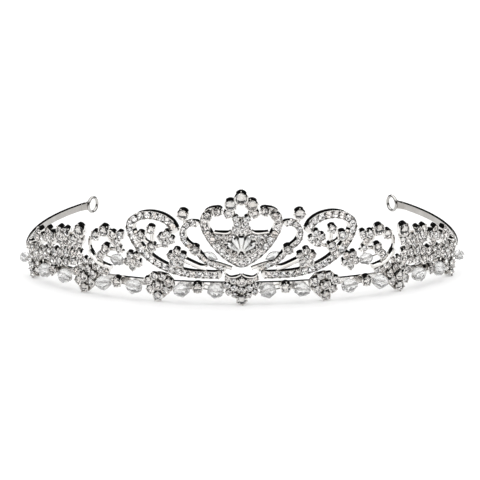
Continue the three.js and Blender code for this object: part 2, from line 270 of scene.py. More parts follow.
def cup(setting, hand, x, y, radius, front=1.5, claws=4, outline=None, turn=None, back=CASTING_BACK):
    """A collar with claws, and the stone that it holds."""
    skew = cup_skew(x)
    straight = placer(hand, x, y)

    def place(u, v, w):
        return straight(u + skew * (w - front), v, w)
    widest, lip = radius + CUP_DRAFT, radius - CUP_DRAFT
    wall = CUP_WALL + WALL_SHARE * radius
    inside = lip - wall
    seat_share, seat_depth = CUP_SEAT
    profile = [
        (0, back), (widest - BEVEL, back), (widest, back + BEVEL), (lip, front - wall * LIP_LEAN),
        (inside, front), (inside * seat_share, front - seat_depth), (0, front - CUP_DEPTH),
    ]
    setting.metal.turn(place, profile, CUP_SIDES, outline)
    turn = random.uniform(0, math.pi) if turn is None else turn
    for k in range(claws):
        angle = turn + 2 * math.pi * k / claws
        reach = (radius - CLAW["inset"]) * (outline(angle) if outline else 1)
        grain(setting.metal, hand, x + reach * math.cos(angle), y + reach * math.sin(angle),
              front - CLAW["drop"], CLAW["radius"], CLAW["length"], FINE_SIDES)
    gem(setting.stones, hand, x, y, front - CROWN_RISE, inside * STONE_SHARE, outline)


GEM_TILT = 0.09             # radians
GEM_CROWN = 0.36            # the table's height and the lowest point's depth, for the girdle's radius
GEM_DEPTH = 0.8
TABLE_SHARE = 0.5
KITE_SHARE = (0.8, 0.56)    # of the radius and of the table's height
LOWER_SHARE = (0.38, 0.62)  # least and most of the radius, and then of the depth, for the lower facets' corners
LOWER_DEPTH = (0.45, 0.68)


def gem(stones, hand, x, y, n, radius, outline=None):
    """A brilliant-cut stone: table, star, kite and girdle facets above, foiled pavilion facets below."""
    tilts = [Matrix.Rotation(random.uniform(-GEM_TILT, GEM_TILT), 4, axis) for axis in "XY"]
    spin = 0 if outline else random.uniform(0, math.pi / 4)
    spot = seat(hand * x, y, n) @ Matrix.Diagonal((hand, 1, 1, 1)) @ (tilts[0] @ tilts[1])
    rim = []
    for j in range(16):
        angle = spin + j * math.pi / 8
        reach = radius * (outline(angle) if outline else 1)
        rim.append((reach * math.cos(angle), reach * math.sin(angle)))
    rise, fall = radius * GEM_CROWN, radius * GEM_DEPTH
    kite, kite_rise = KITE_SHARE
    flat = [(u * TABLE_SHARE, v * TABLE_SHARE, rise) for u, v in rim[::2]]
    mid = [(u * kite, v * kite, rise * kite_rise) for u, v in rim[1::2]]
    girdle = [(u, v, 0) for u, v in rim]
    shares = [random.uniform(*LOWER_SHARE) for _ in rim[1::2]]
    low = [(u * part, v * part, -fall * random.uniform(*LOWER_DEPTH)) for (u, v), part in zip(rim[1::2], shares)]
    points = [*flat, *mid, *girdle, *low, (0, 0, -fall)]
    F, M, G, L, P = 0, 8, 16, 32, 40    # where each kind of point starts
    top, under = [list(range(8))], []
    for k in range(8):
        before, after = (k - 1) % 8, (k + 1) % 8
        g0, g1, g2 = G + 2 * k, G + 2 * k + 1, G + (2 * k + 2) % 16
        top += [[F + k, M + k, F + after], [F + k, M + before, g0, M + k], [M + k, g0, g1], [M + k, g1, g2]]
        under += [[P, L + k, g0, L + before], [L + k, g1, g0], [L + k, g2, g1]]
    base = len(stones.points)
    stones.points += [spot @ Vector(p) for p in points]
    for group, finish in ((top, 0), (under, 1)):
        stones.faces += [[base + i for i in face] for face in group]
        stones.finishes += [finish] * len(group)


SOLDER = {"outward": -0.7, "radius": 0.5, "length": 0.55, "widest_gap": 0.45}


def solder(metal, hand, cups):
    """Drops of solder where neighbouring cups touch; each cup is (x, y, radius)."""
    for i, (ax, ay, ar) in enumerate(cups):
        for bx, by, br in cups[i + 1:]:
            apart = math.dist((ax, ay), (bx, by))
            if 0 < apart < ar + br + SOLDER["widest_gap"]:
                t = (ar + (apart - ar - br) / 2) / apart
                grain(metal, hand, ax + (bx - ax) * t, ay + (by - ay) * t, SOLDER["outward"],
                      SOLDER["radius"], SOLDER["length"])


RAIL_DRAFT = 0.1
RAIL_STEP = 0.55
RAIL_WALL = 0.18
RAIL_DEPTH = 0.95
CAP_STEPS = 8
ROW = {"sunk": 0.05, "beside": 0.12, "between": 0.02}   # a stone's clearances in its channel
ROW_GRAIN = {"radius": 0.27, "length": 0.3, "inset": 0.14, "proud": 0.02}


def rail(setting, hand, line, start_width, end_width, pitch, front):
    """A channel along a smooth line, with a row of stones between its walls and grains between the stones."""
    def half_at(share):
        return (start_width + (end_width - start_width) * share) / 2
    length = stations(line, [0])[1]
    steps = max(8, round(length / RAIL_STEP))
    spots, _ = stations(line, [i / steps for i in range(steps + 1)])
    floor_n = front - RAIL_DEPTH
    rings = []
    for i, (x, y, hx, hy) in enumerate(spots):
        foot = half_at(i / steps) + RAIL_DRAFT
        half = foot - 2 * RAIL_DRAFT
        inside = half - RAIL_WALL
        section = [
            (-foot + BEVEL, CASTING_BACK), (foot - BEVEL, CASTING_BACK), (foot, CASTING_BACK + BEVEL),
            (half, front - BEVEL), (half - BEVEL, front), (inside, front - BEVEL), (inside, floor_n),
            (-inside, floor_n), (-inside, front - BEVEL), (-half + BEVEL, front), (-half, front - BEVEL),
            (-foot, CASTING_BACK + BEVEL),
        ]
        rings.append([space(hand * (x - hy * s), y + hx * s, n) for s, n in section])
    setting.metal.loft(rings)
    for (x, y, hx, hy), way, width in ((spots[0], -1, start_width), (spots[-1], 1, end_width)):
        levels = []
        for half, n in ((width / 2 + RAIL_DRAFT, CASTING_BACK), (width / 2 - RAIL_DRAFT, front - BEVEL)):
            angles = [math.pi * k / CAP_STEPS for k in range(CAP_STEPS + 1)]
            levels.append([space(hand * (x + way * hx * half * math.sin(a) - hy * half * math.cos(a)),
                                 y + way * hy * half * math.sin(a) + hx * half * math.cos(a), n) for a in angles])
        setting.metal.loft(levels)
    count = max(1, round(length / pitch))
    middles, _ = stations(line, [(i + 0.5) / count for i in range(count)])
    for i, (x, y, _, _) in enumerate(middles):
        radius = min(half_at((i + 0.5) / count) - ROW["beside"], length / count / 2 - ROW["between"])
        gem(setting.stones, hand, x, y, front - ROW["sunk"], radius)
    between, _ = stations(line, [i / count for i in range(count + 1)])
    for i, (x, y, hx, hy) in enumerate(between):
        half = half_at(i / count) - ROW_GRAIN["inset"]
        for side in (-half, half):
            grain(setting.metal, hand, x - hy * side, y + hx * side, front + ROW_GRAIN["proud"],
                  ROW_GRAIN["radius"], ROW_GRAIN["length"], FINE_SIDES)


STEM_STEP = 0.6
STEM_ROUNDING = 0.22


def stem(metal, hand, line, width, back=-1.2, front=0.8):
    """A plain strip with bevelled edges along a smooth line."""
    length = stations(line, [0])[1]
    steps = max(4, round(length / STEM_STEP))
    spots, _ = stations(line, [i / steps for i in range(steps + 1)])
    half, b = width / 2, width * STEM_ROUNDING
    section = [(-half, back + b), (-half + b, back), (half - b, back), (half, back + b),
               (half, front - b), (half - b, front), (-half + b, front), (-half, front - b)]
    metal.loft([[space(hand * (x - hy * s), y + hx * s, n) for s, n in section] for x, y, hx, hy in spots])


PETAL_SHARE = {5: 0.42, 4: 0.46}    # of the flower's radius, by the number of petals
PETAL_FRONT = 1.7
CORE_FRONT = 2.3
CORE_SOLDER = 0.3


def flower(setting, hand, x, y, radius, turn, core=0.34, petals=5):
    """Petal stones round a raised one, whose radius is given as a share of the flower's."""
    petal = radius * PETAL_SHARE[petals]
    ring = radius - petal
    cups = []
    for k in range(petals):
        angle = turn + 2 * math.pi * k / petals
        u, v = x + ring * math.cos(angle), y + ring * math.sin(angle)
        cup(setting, hand, u, v, petal, front=PETAL_FRONT, claws=3, turn=angle)
        cups.append((u, v, petal))
    cup(setting, hand, x, y, radius * core, front=CORE_FRONT)
    solder(setting.metal, hand, [*cups, (x, y, radius * CORE_SOLDER)])


# ---- Materials ----

class Nodes:
    """A short way to build a node tree."""

    def __init__(self, tree):
        self.tree = tree
        tree.nodes.clear()

    def add(self, kind, **settings):
        node = self.tree.nodes.new(kind)
        for key, value in settings.items():
            if hasattr(node, key):
                setattr(node, key, value)
            else:
                node.inputs[key.replace("_", " ")].default_value = value
        return node

    def link(self, source, target):
        self.tree.links.new(source, target)


def material(name):
    made = bpy.data.materials.new(name)
    made.use_nodes = True
    nodes = Nodes(made.node_tree)
    shader = nodes.add("ShaderNodeBsdfPrincipled")
    nodes.link(shader.outputs[0], nodes.add("ShaderNodeOutputMaterial").inputs[0])
    return made, nodes, shader


def ramp(nodes, source, *stops):
    node = nodes.add("ShaderNodeValToRGB")
    while len(node.color_ramp.elements) < len(stops):
        node.color_ramp.elements.new(0.5)
    for element, (place, colour) in zip(node.color_ramp.elements, stops):
        element.position = place
        element.color = (*colour, 1)
    nodes.link(source, node.inputs[0])
    return node.outputs[0]


def noise(nodes, scale, detail=2.0):
    coordinates = nodes.add("ShaderNodeTexCoord")
    node = nodes.add("ShaderNodeTexNoise", Scale=scale, Detail=detail)
    nodes.link(coordinates.outputs["Object"], node.inputs["Vector"])
    return node.outputs[0]


def bump(nodes, shader, source, strength, distance):
    node = nodes.add("ShaderNodeBump", Strength=strength, Distance=distance)
    nodes.link(source, node.inputs["Height"])
    nodes.link(node.outputs[0], shader.inputs["Normal"])


def metal_material(name, light, dark, smooth, rough, texture, depth):
    """Bright plating: slightly uneven tone and polish, with a faint cast or drawn surface."""
    made, nodes, shader = material(name)
    shader.inputs["Metallic"].default_value = 1
    tone = noise(nodes, 260, 3)
    nodes.link(ramp(nodes, tone, (0.3, dark), (0.65, light)), shader.inputs["Base Color"])
    polish = noise(nodes, 700)
    nodes.link(ramp(nodes, polish, (0.3, (smooth,) * 3), (0.75, (rough,) * 3)), shader.inputs["Roughness"])
    bump(nodes, shader, noise(nodes, texture), 0.25, depth)
    return made


def stone_tint(nodes, target, whitest):
    """A faint tint of its own for each stone-sized cell."""
    coordinates = nodes.add("ShaderNodeTexCoord")
    cells = nodes.add("ShaderNodeTexVoronoi", Scale=430.0)
    nodes.link(coordinates.outputs["Object"], cells.inputs["Vector"])
    split = nodes.add("ShaderNodeSeparateColor")
    nodes.link(cells.outputs["Color"], split.inputs[0])
    tints = ((0.0, (1, 1, 1)), (0.4, (1, 0.99, 0.98)), (0.6, (0.99, 0.995, 1)), (0.8, (1, 0.985, 0.975)),
             (1.0, (1, 0.975, 0.95)))
    stops = [(place, [part * whitest for part in tint]) for place, tint in tints]
    nodes.link(ramp(nodes, split.outputs[0], *stops), target)


def crown_material():
    made, nodes, shader = material("stone_crown")
    shader.inputs["Transmission Weight"].default_value = 1
    shader.inputs["Roughness"].default_value = 0.0
    shader.inputs["IOR"].default_value = 1.58
    stone_tint(nodes, shader.inputs["Base Color"], 1.0)
    return made


def foil_material():
    made, nodes, shader = material("stone_foil")
    shader.inputs["Metallic"].default_value = 1
    shader.inputs["Roughness"].default_value = 0.04
    stone_tint(nodes, shader.inputs["Base Color"], 0.93)
    return made


def glass_material(name, rough, clear):
    """Crystal with a slight unevenness in its polish."""
    made, nodes, shader = material(name)
    shader.inputs["Transmission Weight"].default_value = clear
    shader.inputs["IOR"].default_value = 1.5
    tone = noise(nodes, 350, 1)
    nodes.link(ramp(nodes, tone, (0.3, (1, 1, 0.99)), (0.7, (1, 1, 1))), shader.inputs["Base Color"])
    polish = noise(nodes, 900)
    nodes.link(ramp(nodes, polish, (0.35, (0,) * 3), (0.8, (rough,) * 3)), shader.inputs["Roughness"])
    bump(nodes, shader, noise(nodes, 500, 1), 0.12, 0.00002)
    return made


CAST = metal_material("cast_plating", (0.78, 0.765, 0.745), (0.56, 0.54, 0.515), 0.03, 0.11, 900, 0.00002)
STRIP = metal_material("strip_plating", (0.9, 0.89, 0.875), (0.8, 0.785, 0.765), 0.05, 0.14, 300, 0.00001)
# A darker copy of the strip plating, painted shade on the band's inner faces and on the tongue behind the strip.
STRIP_INNER_SHADE = metal_material(
    "strip_inner_painted_shade", (0.44, 0.425, 0.405), (0.36, 0.345, 0.325), 0.14, 0.28, 300, 0.00002)
WIRE = metal_material("wire_plating", (0.5, 0.49, 0.475), (0.4, 0.39, 0.375), 0.08, 0.2, 600, 0.00001)
CROWN = crown_material()
FOIL = foil_material()
BEAD_GLASS = glass_material("bead_crystal", 0.04, 0.8)
LEAF_GLASS = glass_material("leaf_crystal", 0.03, 0.75)
FAN_GLASS = metal_material("fan_crystal", (0.82, 0.82, 0.81), (0.6, 0.6, 0.595), 0.1, 0.35, 500, 0.00003)


class Setting:
    """A casting and its stones, which become two pieces that stand for one CAD node."""

    def __init__(self, name):
        self.name = name
        self.metal, self.stones = Shape(), Shape()

    def finish(self):
        make(f"{self.name}_setting", self.metal, [CAST], "tiara", [self.name])
        if self.stones.faces:
            make(f"{self.name}_stones", self.stones, [CROWN, FOIL], "tiara", smooth_angle=0)


# ---- The headband and its end loops ----

BAND_STEPS = 260
BAND_BEVEL = 0.16
EDGE_FALL = 0.36    # how far down each face its upper edge starts to lean in, and by how much
OUTER_LEAN = 0.1
INNER_LEAN = 0.2


def headband():
    shape = Shape()
    section = [
        (BAND_OUTER - BAND_BEVEL, BAND_BOTTOM), (BAND_OUTER, BAND_BOTTOM + BAND_BEVEL),
        (BAND_OUTER, BAND_TOP - EDGE_FALL), (BAND_OUTER - OUTER_LEAN, BAND_TOP),
        (BAND_INNER + INNER_LEAN, BAND_TOP), (BAND_INNER, BAND_TOP - EDGE_FALL),
        (BAND_INNER, BAND_BOTTOM + BAND_BEVEL), (BAND_INNER + BAND_BEVEL, BAND_BOTTOM),
    ]
    rings = []
    for i in range(BAND_STEPS + 1):
        x = -BAND_END + 2 * BAND_END * i / BAND_STEPS
        rings.append([space(x, y, n) for n, y in section])
    shape.loft(rings)
    # The inner face and its lower bevel take the darker copy of the plating: painted shade.
    painted_shade_sides = {5, 6}    # the faces after the section's points with these numbers
    for face in range(BAND_STEPS * len(section)):
        shape.finishes[face] = 1 if face % len(section) in painted_shade_sides else 0
    make("headband_strip", shape, [STRIP, STRIP_INNER_SHADE], "tiara", ["headband"], smooth_angle=12)


TONGUE = [    # past the band's end, half height and inner face, along the tongue
    (-3.0, 1.3, BAND_INNER - 0.02), (-1.5, 1.3, BAND_INNER - 0.25), (0.1, 1.45, BAND_INNER - 0.5),
    (0.7, 1.6, BAND_INNER - 0.65),
]
LOOP_RADIUS = 2.62
LOOP_WIRE = 0.52
LOOP_DEPTH = 1.15   # the wire's outward size for its size in the loop's plane
LOOP_BEHIND = 0.65  # how far the loop lies behind the strip
LOOP_PAST = 0.15
LOOP_STEPS = 40
LOOP_SIDES = 12


def end_loop(hand, label):
    """A wire loop past the arm's end, on a tongue behind the strip."""
    shape = Shape()
    middle = (BAND_BOTTOM + BAND_TOP) / 2
    centre = BAND_END + LOOP_RADIUS + LOOP_WIRE + LOOP_PAST
    rings = []
    for i in range(LOOP_STEPS):
        a = 2 * math.pi * i / LOOP_STEPS
        ring = []
        for k in range(LOOP_SIDES):
            t = 2 * math.pi * k / LOOP_SIDES
            reach = LOOP_RADIUS + LOOP_WIRE * math.cos(t)
            outward = BAND_INNER - LOOP_BEHIND + LOOP_DEPTH * LOOP_WIRE * math.sin(t)
            ring.append(space(hand * (centre + reach * math.cos(a)), middle + reach * math.sin(a), outward))
        rings.append(ring)
    shape.loft(rings, closed=True)
    rings = []
    for past, half, inner in TONGUE:
        section = ((-half, BAND_INNER), (-half, inner), (half - EDGE_FALL, inner), (half, inner + INNER_LEAN),
                   (half, BAND_INNER))
        rings.append([space(hand * (BAND_END + past), middle + v, w) for v, w in section])
    # The tongue behind the strip takes the darker copy of the plating: painted shade.
    shape.loft(rings, finish=1)
    make(f"end_loop_{label}_wire", shape, [WIRE, STRIP_INNER_SHADE], "tiara", [f"end_loop_{label}"],
         smooth_angle=25)


# ---- The castings ----

LOZENGE_PLACES = {"inner": 28, "outer": 56, "end": 84}
LOZENGE_HALF = [(0.6, 0.4), (3.0, 2.5), (4.5, 3.9), (5.0, 5.5), (5.0, 7.6), (3.2, 9.5), (0, 10.1)]
LOZENGE_CUPS = [    # along the band, up, radius and how far the front stands out, for the right half
    (0, 2.0, 1.85, 1.3), (2.7, 4.1, 1.6, 0.9), (0, 5.7, 1.75, 1.4), (3.5, 7.0, 1.6, 0.9), (1.4, 8.75, 1.4, 0.9),
]
CENTRE_CUPS = [
    (0, 1.95, 1.85, 2.8), (2.3, 3.4, 1.1, 1.6), (4.3, 4.3, 1.15, 1.4), (0, 5.1, 1.4, 1.7),
    (2.45, 5.8, 1.25, 1.6), (4.75, 6.6, 1.2, 1.3), (0, 8.1, 1.65, 2.1), (2.7, 8.1, 1.1, 1.4),
    (4.7, 8.8, 1.05, 1.2),
]
LOZENGE_BACK = -0.6     # the back of its cups, in front of its plate's back
PLATE_FRONT = -0.8
BIG_CUP = 1.6           # a wider cup in a cluster has five claws


def backing(metal, hand, half_outline, at=0, scale=1.0):
    """A thin plate behind a cluster of cups."""
    rim = [*half_outline, *[(-x, y) for x, y in half_outline[::-1] if x]]
    metal.loft([[space(hand * (at + x * scale), y * scale, n) for x, y in rim]
                for n in (CASTING_BACK, PLATE_FRONT)])


def lozenge(setting, hand, at, scale=1.0, layout=LOZENGE_CUPS):
    """A shield-shaped cluster of cups, with the biggest at its lower tip."""
    cups = []
    for u, y, radius, front in layout:
        for way in ((1, -1) if u else (1,)):
            spot = (at + way * u * scale, y * scale, radius * scale)
            cup(setting, hand, *spot, front=front, claws=5 if radius > BIG_CUP else 4, back=LOZENGE_BACK)
            cups.append(spot)
    solder(setting.metal, hand, cups)


def spray(setting, hand, cups, stems=()):
    """Single stones on thin stems; each cup is (x, y, radius)."""
    for line, width in stems:
        stem(setting.metal, hand, line, width)
    for x, y, radius in cups:
        cup(setting, hand, x, y, radius, front=1.3 + 0.3 * radius)
    solder(setting.metal, hand, cups)


HEART_HALF = [
    (7.5, 31.9), (9.8, 31.6), (11.6, 30.3), (12.2, 28.3), (11.9, 26.1), (10.9, 24),
    (9.6, 21.9), (8, 19.8), (5.7, 17.4), (2.9, 15.4),
]
HEART_BOTTOM = (0, 14.1)
HEART_WIDTH = 2.8
HEART_CUPS = [(7.7, 31.7, 1.7), (11.0, 30.2, 1.75)]
ROSETTE_TOP = (0, 36.1, 2.4)
ROSETTE_HALF = [(3.45, 33.85, 2.2), (4.35, 30.9, 1.65), (1.95, 29.2, 1.3), (1.45, 27.0, 1.3), (2.1, 25.2, 1.2)]
ROSETTE_STEM = [(0, 28.0, 1.15), (0, 25.3, 1.2)]
ROSETTE_RING = {"height": 31.7, "radius": 3.0, "steps": 16}
PEAR_PEAK = 0.08    # how much further out the top cup reaches at its apex
FAN_HALF = [(2, 16.7), (4.5, 18.5), (6.7, 20.75), (8, 22.5), (9.1, 24.2), (8.8, 24.8)]
FAN_CUPS = [
    (7.9, 23.1, 1.2), (7.4, 21.2, 1.15), (5.9, 19.6, 1.15), (4.2, 18.2, 1.1), (2.3, 17.1, 1.05),
    (5.8, 23.1, 1.05), (3.8, 23.2, 1.0), (5.6, 21.5, 0.85),
]
FAN_LOWEST_CUP = (0, 16.3, 1.15)
FAN_RIM = [(8.9, 24.7), (7.4, 24.55), (5.8, 24.4), (4.4, 24.5), (3.5, 25.1)]
SCALLOP = [(0.3, 10.2), (1.4, 9.6), (3.0, 9.3), (4.6, 9.7), (5.6, 10.9)]


def heart_frame():
    setting = Setting("heart_frame")
    left = [(-x, y) for x, y in HEART_HALF[::-1]]
    rail(setting, 1, [*HEART_HALF, HEART_BOTTOM, *left], HEART_WIDTH, HEART_WIDTH, 2.5, 1.8)
    for hand in (1, -1):
        for spot in HEART_CUPS:
            cup(setting, hand, *spot, front=2.4)
    setting.finish()


def crown_rosette():
    def pear(angle):
        return 1 + PEAR_PEAK * max(0.0, math.sin(angle)) ** 8
    setting = Setting("crown_rosette")
    cup(setting, 1, *ROSETTE_TOP, front=1.9, claws=5, outline=pear, turn=math.pi / 2)
    cups = [*ROSETTE_HALF, *[(-x, y, r) for x, y, r in ROSETTE_HALF], *ROSETTE_STEM]
    for x, y, radius in cups:
        cup(setting, 1, x, y, radius, front=1.4 + 0.15 * radius)
    solder(setting.metal, 1, [*cups, ROSETTE_TOP])
    height, radius, steps = (ROSETTE_RING[key] for key in ("height", "radius", "steps"))
    angles = [2 * math.pi * k / steps for k in range(steps + 1)]
    ring = [(radius * math.sin(a), height + radius * math.cos(a)) for a in angles]
    stem(setting.metal, 1, ring, 1.6, CASTING_BACK, 0.4)
    stem(setting.metal, 1, [(0, 24.6), (0, 29.4)], 4.4, CASTING_BACK, 0.3)
    setting.finish()


def fan_frame():
    setting = Setting("fan_frame")
    for hand in (1, -1):
        for spot in FAN_CUPS:
            cup(setting, hand, *spot, front=1.1)
        stem(setting.metal, hand, FAN_RIM, 0.5, CASTING_BACK, 2.1)
    cup(setting, 1, *FAN_LOWEST_CUP, front=0.9)
    backing(setting.metal, 1, [(0, 15.9), *FAN_HALF, (0, 24.8)])
    setting.finish()


def lozenge_centre():
    setting = Setting("lozenge_centre")
    lozenge(setting, 1, 0, layout=CENTRE_CUPS)
    for hand in (1, -1):
        stem(setting.metal, hand, SCALLOP, 0.4, -1.1, 1.6)
    backing(setting.metal, 1, LOZENGE_HALF)
    setting.finish()


FAN_ROOT = 17.2
CRYSTAL_MIDDLE = 0.9
FAN_CRYSTALS = [("centre", 0, 7.1), ("inner", 25, 6.9), ("outer", 50, 6)]   # name, angle and reach
LEAF = (10.1, 16.6, 61)
PEAR_PROFILE = [(0, 1.2), (0.35, 2.2), (0.75, 3.6), (1.08, 5.0), (1.12, 5.7), (0.85, 6.5), (0.4, 7.0), (0, 7.1)]
LEAF_PROFILE = [(0, -2.8), (0.7, -1.9), (1.25, -0.6), (1.3, 0.3), (0.85, 1.6), (0, 2.8)]
SHORT_CRYSTAL = 0.9     # a crystal with a smaller share of the longest one's reach is this much narrower
CRYSTAL_SIDES = 8
CRYSTAL_SQUASH = 0.85


def cut_crystal(node, hand, x, y, degrees, profile, glass):
    """A crystal turned from a profile of (radius, reach) with flat facets, squashed front to back."""
    shape = Shape()
    spot = seat(hand * x, y, CRYSTAL_MIDDLE) @ Matrix.Rotation(math.radians(-degrees * hand), 4, "Z")

    def place(u, v, w):
        return spot @ Vector((u, w, v * CRYSTAL_SQUASH))
    shape.turn(place, profile, CRYSTAL_SIDES)
    make(f"{node}_cut", shape, [glass], "tiara", [node], smooth_angle=0)


def crystals():
    longest = FAN_CRYSTALS[0][2]
    for name, degrees, reach in FAN_CRYSTALS:
        share = reach / longest
        profile = [(r * (SHORT_CRYSTAL if share < 0.9 else 1), h * share) for r, h in PEAR_PROFILE]
        for hand, label in ((1, "_right"), (-1, "_left")) if degrees else ((1, ""),):
            cut_crystal(f"fan_crystal_{name}{label}", hand, 0, FAN_ROOT, degrees, profile, FAN_GLASS)
    for hand, label in ((1, "right"), (-1, "left")):
        cut_crystal(f"leaf_crystal_{label}", hand, *LEAF, LEAF_PROFILE, LEAF_GLASS)


INNER_SCROLL = [
    (14.9, 27.3), (17.2, 27.2), (19.1, 25.4), (19.4, 22.9), (18.3, 20.7), (15.2, 18.4),
    (13.6, 16.5), (11.9, 14.9), (9.8, 13.7), (7.6, 12.8), (5.7, 12.2),
]
INNER_TAIL = [(10.4, 14.3), (7, 13.5), (3.2, 12.2)]
FINIAL_STEM = [(18.4, 26.6), (18.9, 28.5), (19, 30.5)]
BIG_SCROLL = [
    (7.6, 10), (12, 10), (18, 10.3), (24, 11.6), (28.6, 13.6), (32.2, 16.1), (34.9, 18.8), (36.7, 21.6),
    (37.8, 24.6), (37, 27), (34.2, 28.8), (30.3, 29.5), (26.4, 28.8), (23.6, 27.1), (22.3, 25),
]
QUATREFOIL = {"middle": (24.9, 21.8), "reach": 1.65, "leaf": 1.5}
INNER_SPRAY_CUPS = [(29.9, 18.7, 1.85), (30.1, 24.6, 1.75), (33.6, 22.2, 1.85)]
INNER_SPRAY_STEMS = [
    ([(29.9, 18.8), (30.1, 21.5), (30.1, 24.6)], 1.0), ([(30, 19.4), (32.4, 20.4), (33.5, 22.1)], 0.9),
    ([(30, 18.9), (27.4, 19.1), QUATREFOIL["middle"]], 0.9),
]
INNER_FLOWER_STEM = [(11.3, 12.4), (14.2, 13.1), (18.6, 15)]
OUTER_SPRAY_CUPS = [
    (41.1, 21.8, 1.6), (43.9, 21.7, 1.5), (42.4, 19.3, 1.5), (41.6, 16.9, 1.35),
    (47.1, 22.6, 2.2), (50.6, 20.6, 1.9), (46.6, 16.5, 1.9), (48.6, 13.9, 1.6),
]
OUTER_SPRAY_STEMS = [
    ([(41.6, 17.2), (44, 16.5), (46.6, 16.5)], 0.9), ([(43.9, 21.8), (47.2, 22.8), (50.6, 20.8)], 1.0),
    ([(46.8, 21.5), (45.2, 19.2), (43.1, 17.4), (40.6, 15.9)], 0.9),
]
SIDE_SCROLL = [(45.4, 10), (49, 10.9), (52, 12.6), (53.9, 15), (54.5, 17.4), (54.1, 19.3)]
SIDE_SCROLL_CUPS = [(46.4, 8.7, 1.1), (48.7, 8.9, 1.1), (50.9, 9.9, 1.1), (52.9, 11.5, 1.0)]
UPPER_CUPS = [(57.1, 21.3, 2.45), (57.0, 17.6, 1.7), (60.1, 18.0, 1.7)]
UPPER_FLOWERS = [(64.8, 18.5, 4.0), (72.0, 16.9, 3.7), (78.2, 15.8, 3.4)]
LOWER_CUPS = [
    (57.5, 13.3, 1.6), (60.4, 13.2, 1.6), (63.3, 13.0, 1.6), (66.2, 12.5, 1.6), (69.2, 12.2, 1.6),
    (66.6, 9.5, 1.75), (63.2, 9.9, 1.7), (70.3, 9.2, 1.6), (60.2, 10.3, 1.4), (57.4, 10.4, 1.3), (55.2, 11.5, 1.2),
    (58.9, 15.5, 1.1), (61.9, 15.3, 1.1), (65.1, 14.9, 1.1),
]
LOWER_FLOWERS = [(73.6, 11.0, 2.8), (79.0, 10.3, 3.0), (84.5, 11.3, 2.8)]
END_LOZENGE_SCALE = 0.85


def side_castings(hand, label):
    for place, at in LOZENGE_PLACES.items():
        setting = Setting(f"lozenge_{place}_{label}")
        scale = END_LOZENGE_SCALE if place == "end" else 1
        lozenge(setting, hand, at, scale)
        backing(setting.metal, hand, LOZENGE_HALF, at, scale)
        if place == "end":
            wire_to_bead(setting, hand, END_WIRE)
        setting.finish()

    setting = Setting(f"inner_scroll_{label}")
    rail(setting, hand, INNER_SCROLL, 2.2, 1.8, 2.1, 1.25)
    stem(setting.metal, hand, INNER_TAIL, 1.0, CASTING_BACK, 0.7)
    stem(setting.metal, hand, FINIAL_STEM, 1.1)
    cup(setting, hand, 19.1, 30.3, 2.1, front=1.9)
    cup(setting, hand, 15.2, 18.5, 1.9, front=2.1)
    setting.finish()

    setting = Setting(f"big_scroll_{label}")
    rail(setting, hand, BIG_SCROLL, 2.5, 2.9, 2.45, 1.4)
    setting.finish()

    setting = Setting(f"inner_spray_{label}")
    (x, y), reach, leaf = (QUATREFOIL[key] for key in ("middle", "reach", "leaf"))
    leaves = [(x + reach * u, y + reach * v, leaf) for u, v in ((1, 0.2), (-0.2, 1), (-1, -0.2), (0.2, -1))]
    spray(setting, hand, [*INNER_SPRAY_CUPS, *leaves], INNER_SPRAY_STEMS)
    setting.finish()

    setting = Setting(f"inner_flower_{label}")
    stem(setting.metal, hand, INNER_FLOWER_STEM, 1.3, CASTING_BACK, 2.7)
    flower(setting, hand, 21.3, 15.5, 3.6, 0.3)
    setting.finish()

    setting = Setting(f"outer_flower_{label}")
    flower(setting, hand, 36.5, 13.5, 3.55, 1.0)
    setting.finish()

    setting = Setting(f"outer_spray_{label}")
    spray(setting, hand, OUTER_SPRAY_CUPS, OUTER_SPRAY_STEMS)
    wire_to_bead(setting, hand, SPRAY_WIRE)
    setting.finish()

    setting = Setting(f"side_scroll_{label}")
    stem(setting.metal, hand, SIDE_SCROLL[:4], 1.5, CASTING_BACK, 1.3)
    stem(setting.metal, hand, SIDE_SCROLL[2:], 1.5, -1.1, -0.2)
    spray(setting, hand, SIDE_SCROLL_CUPS)
    setting.finish()

    for level, cups, flowers in (("upper", UPPER_CUPS, UPPER_FLOWERS), ("lower", LOWER_CUPS, LOWER_FLOWERS)):
        setting = Setting(f"side_flowers_{level}_{label}")
        spray(setting, hand, cups, [([cups[0][:2], *[(x, y) for x, y, _ in flowers]], 1.1)])
        for i, (x, y, radius) in enumerate(flowers):
            flower(setting, hand, x, y, radius, 0.8 + i * 0.4, core=0.42, petals=4)
        setting.finish()


# ---- Beads on their wires ----

BEAD_RADIUS = 2.6
BEAD_HALF = 2.6
BEAD_BORE = 0.45
BEAD_TABLE = 1.2        # the radius of a bead's flat ends
BEAD_WAIST = (2.0, 0.54)    # the radius half way to an end, and how far out that is for the half length
BEAD_BELT = 0.12        # half the width of the band round a bead's middle
BEAD_SIDES = 8
BEAD_AXIS = CASTING_BACK + BEAD_RADIUS
BEAD_HEIGHT = 4.65
SPRAY_BEAD = 0.86       # scale
END_BEAD = 0.74
WIRE_RADIUS = 0.27
WIRE_PAST_BEAD = 0.3
WIRE_SIDES = 8
WIRE_PARTS = 6
DROP_HEIGHT = 5.7
DROP_RADIUS = 1.95
DROP_FRONT = BEAD_AXIS + 0.75
DROPS = [("inner", 14.4, (8.6, 19.9)), ("middle", 42.4, (36.4, 47.9)), ("outer", 70, (64.5, 75))]
END_WIRE = {"start": (88, 5.2), "stop": (95.3, 5.6), "outward": 0.75, "fraction": 0.62}
SPRAY_WIRE = {"start": (47.4, 13.86), "stop": (40.4, 12.2), "outward": -0.1, "fraction": 0.61}


